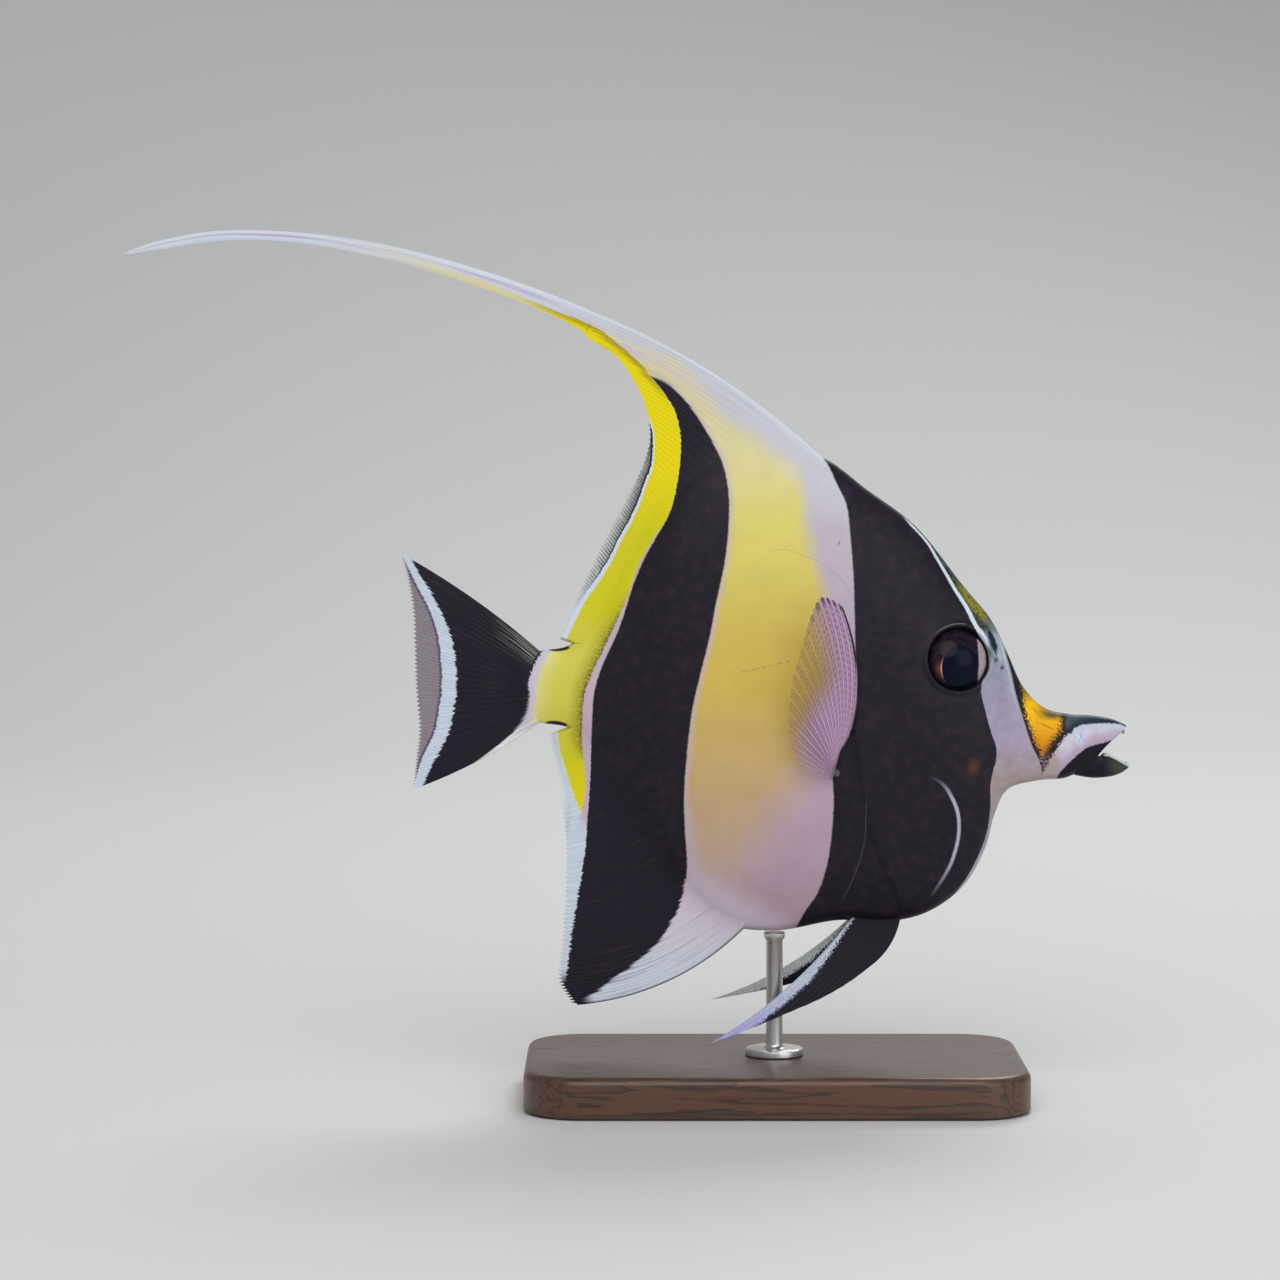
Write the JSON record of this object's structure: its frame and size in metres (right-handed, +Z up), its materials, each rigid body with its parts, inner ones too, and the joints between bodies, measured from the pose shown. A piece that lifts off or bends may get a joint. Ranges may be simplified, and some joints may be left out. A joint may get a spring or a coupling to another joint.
{
  "type": "moorish idol fish model",
  "caption": "Life-size display model of a moorish idol reef fish with a long trailing dorsal filament, held by a rod on a flat oblong base.",
  "frame": {"origin": "centre of the stand base's underside", "axes": "+Z up, +X towards the fish's snout, +Y towards the fish's left side"},
  "size_m": [0.2413, 0.07, 0.2084],
  "materials": {
    "dark_skin": "fine scaled skin, black with a sheen",
    "banded_skin": "fine scaled skin with black, yellow and lilac white bands",
    "snout_skin": "smooth skin with an orange saddle edged in black",
    "eye": "wet gloss",
    "fin_membrane": "rayed membrane with bands and a clear margin",
    "white_filament": "rayed white membrane",
    "clear_membrane": "thin see-through membrane on pinkish rays",
    "stand_wood": "dark stained wood, satin",
    "stand_steel": "brushed"
  },
  "bodies": {
    "root": {"snout": "snout_skin", "lower_jaw": "dark_skin", "head": "dark_skin", "torso": "banded_skin", "tail_stem": "banded_skin", "eye_right": "eye", "eye_left": "eye", "dorsal_fin_front": "fin_membrane", "dorsal_fin_rear": "fin_membrane", "dorsal_filament_root": "white_filament", "dorsal_filament_mid": "white_filament", "dorsal_filament_tip": "white_filament", "anal_fin": "fin_membrane", "caudal_fin": "fin_membrane", "pectoral_fin_right": "clear_membrane", "pectoral_fin_left": "clear_membrane", "pelvic_fin_right": "fin_membrane", "pelvic_fin_left": "fin_membrane", "stand_base": "stand_wood", "stand_rod": "stand_steel"}
  },
  "joints": []
}
